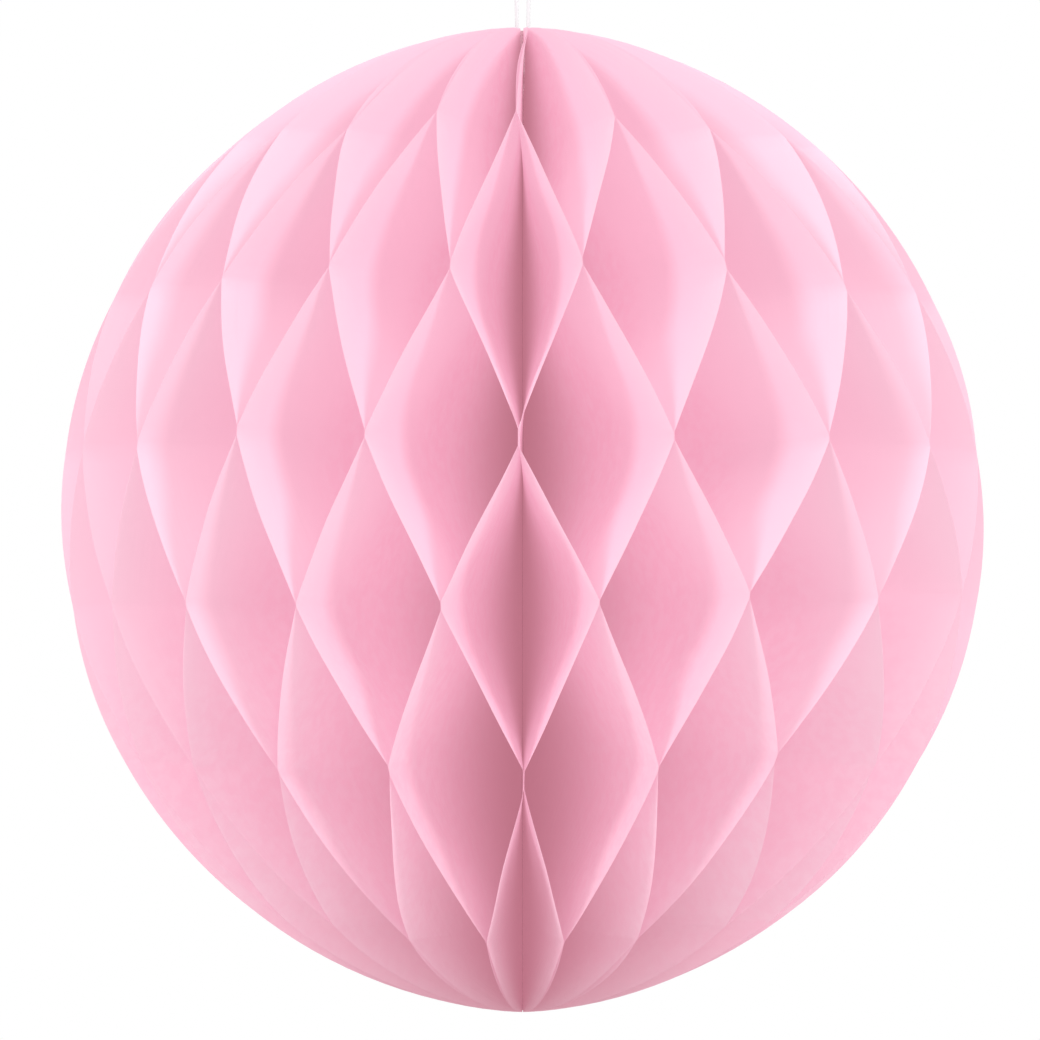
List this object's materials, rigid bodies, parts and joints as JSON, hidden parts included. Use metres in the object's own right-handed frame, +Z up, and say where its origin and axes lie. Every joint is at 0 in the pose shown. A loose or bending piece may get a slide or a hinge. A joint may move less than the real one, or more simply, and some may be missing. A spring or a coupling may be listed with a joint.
{
  "type": "honeycomb paper ball",
  "caption": "Round tissue honeycomb ball: half-disc leaves glued in staggered rows fan round a stitched spine into diamond cells, hung by a thread loop.",
  "frame": {"origin": "middle of the ball, on the spine, halfway between its two poles", "axes": "+Z up along the spine to the pole with the hanging loop, -Y the front, +Y the half-plane where the two cover cards meet"},
  "size_m": [0.1864, 0.1862, 0.2273],
  "materials": {
    "tissue": "matte",
    "card": "matte",
    "thread": "matte",
    "stitching": "matte",
    "tape": "satin"
  },
  "bodies": {
    "root": {"leaf_01": "tissue", "leaf_02": "tissue", "leaf_03": "tissue", "leaf_04": "tissue", "leaf_05": "tissue", "leaf_06": "tissue", "leaf_07": "tissue", "leaf_08": "tissue", "leaf_09": "tissue", "leaf_10": "tissue", "leaf_11": "tissue", "leaf_12": "tissue", "leaf_13": "tissue", "leaf_14": "tissue", "leaf_15": "tissue", "leaf_16": "tissue", "leaf_17": "tissue", "leaf_18": "tissue", "leaf_19": "tissue", "leaf_20": "tissue", "leaf_21": "tissue", "leaf_22": "tissue", "leaf_23": "tissue", "leaf_24": "tissue", "leaf_25": "tissue", "leaf_26": "tissue", "leaf_27": "tissue", "leaf_28": "tissue", "leaf_29": "tissue", "leaf_30": "tissue", "leaf_31": "tissue", "leaf_32": "tissue", "leaf_33": "tissue", "leaf_34": "tissue", "leaf_35": "tissue", "leaf_36": "tissue", "leaf_37": "tissue", "leaf_38": "tissue", "leaf_39": "tissue", "leaf_40": "tissue", "cover_card_left": "card", "cover_card_right": "card", "closing_tape_upper": "tape", "closing_tape_lower": "tape", "spine_thread": "stitching", "loop_knot": "stitching", "hanging_loop": "thread"}
  },
  "joints": []
}
